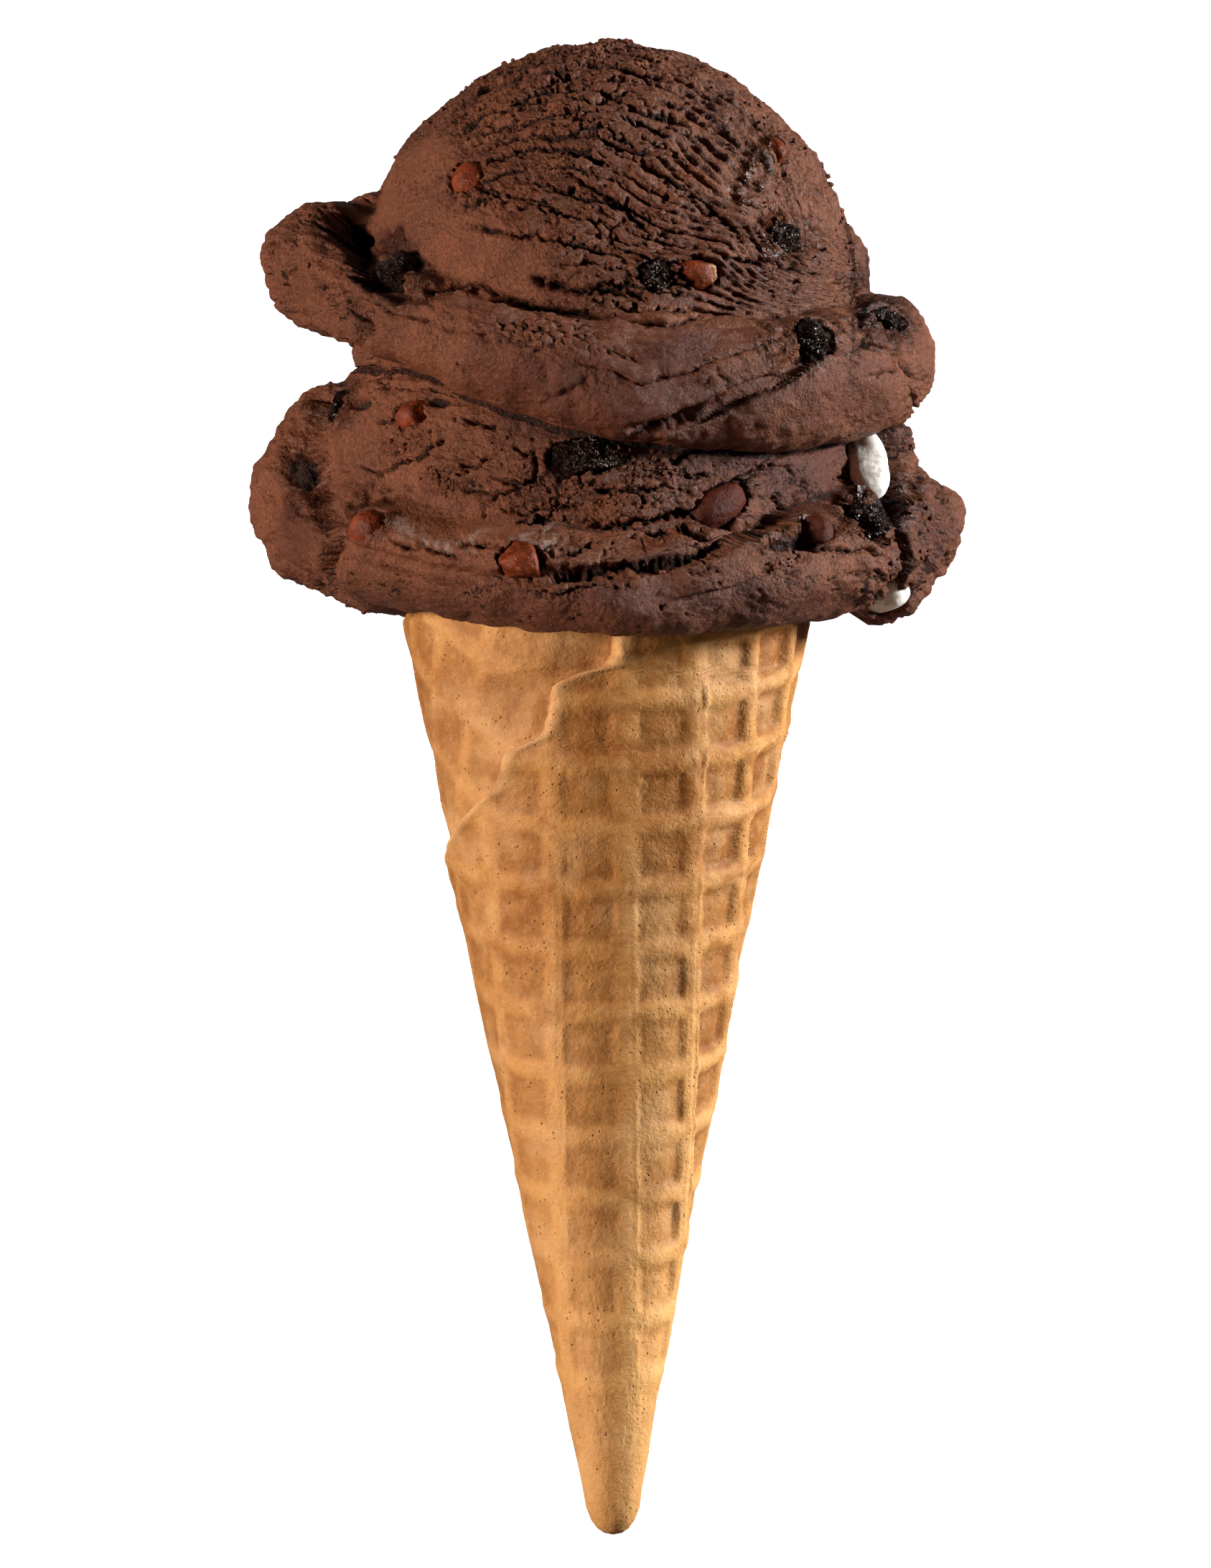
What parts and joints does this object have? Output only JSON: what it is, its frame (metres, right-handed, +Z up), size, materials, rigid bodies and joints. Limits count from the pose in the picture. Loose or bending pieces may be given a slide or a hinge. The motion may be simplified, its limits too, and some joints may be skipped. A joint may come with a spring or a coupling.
{
  "type": "double scoop ice cream cone",
  "caption": "Chocolate ice cream scoops with nuts, fudge and marshmallow on a rolled waffle cone, lying on its back.",
  "frame": {"origin": "on the surface that the part lies on, under the middle of its box", "axes": "+Z up, out of the shown side; +Y along the cone from its tip to the top scoop; +X to the right as seen from above with the top scoop away from the viewer"},
  "size_m": [0.0926, 0.1952, 0.0835],
  "materials": {
    "waffle": "dry baked wafer with a pressed square grid, matt",
    "chocolate_ice_cream": "frozen, scraped and cracked, satin in the smooth folds",
    "nut": "roasted and syrup-coated, satin",
    "fudge": "dark and wet, glossy",
    "marshmallow": "soft and pale, satin"
  },
  "bodies": {
    "root": {"cone": "waffle", "lower_scoop": "chocolate_ice_cream", "upper_scoop": "chocolate_ice_cream", "nut_1": "nut", "nut_2": "nut", "nut_3": "nut", "nut_4": "nut", "nut_5": "nut", "nut_6": "nut", "nut_7": "nut", "nut_8": "nut", "nut_9": "nut", "nut_10": "nut", "fudge_1": "fudge", "fudge_2": "fudge", "fudge_3": "fudge", "fudge_4": "fudge", "fudge_5": "fudge", "fudge_6": "fudge", "fudge_7": "fudge", "fudge_8": "fudge", "fudge_9": "fudge", "marshmallow_1": "marshmallow", "marshmallow_2": "marshmallow", "marshmallow_3": "marshmallow"}
  },
  "joints": []
}
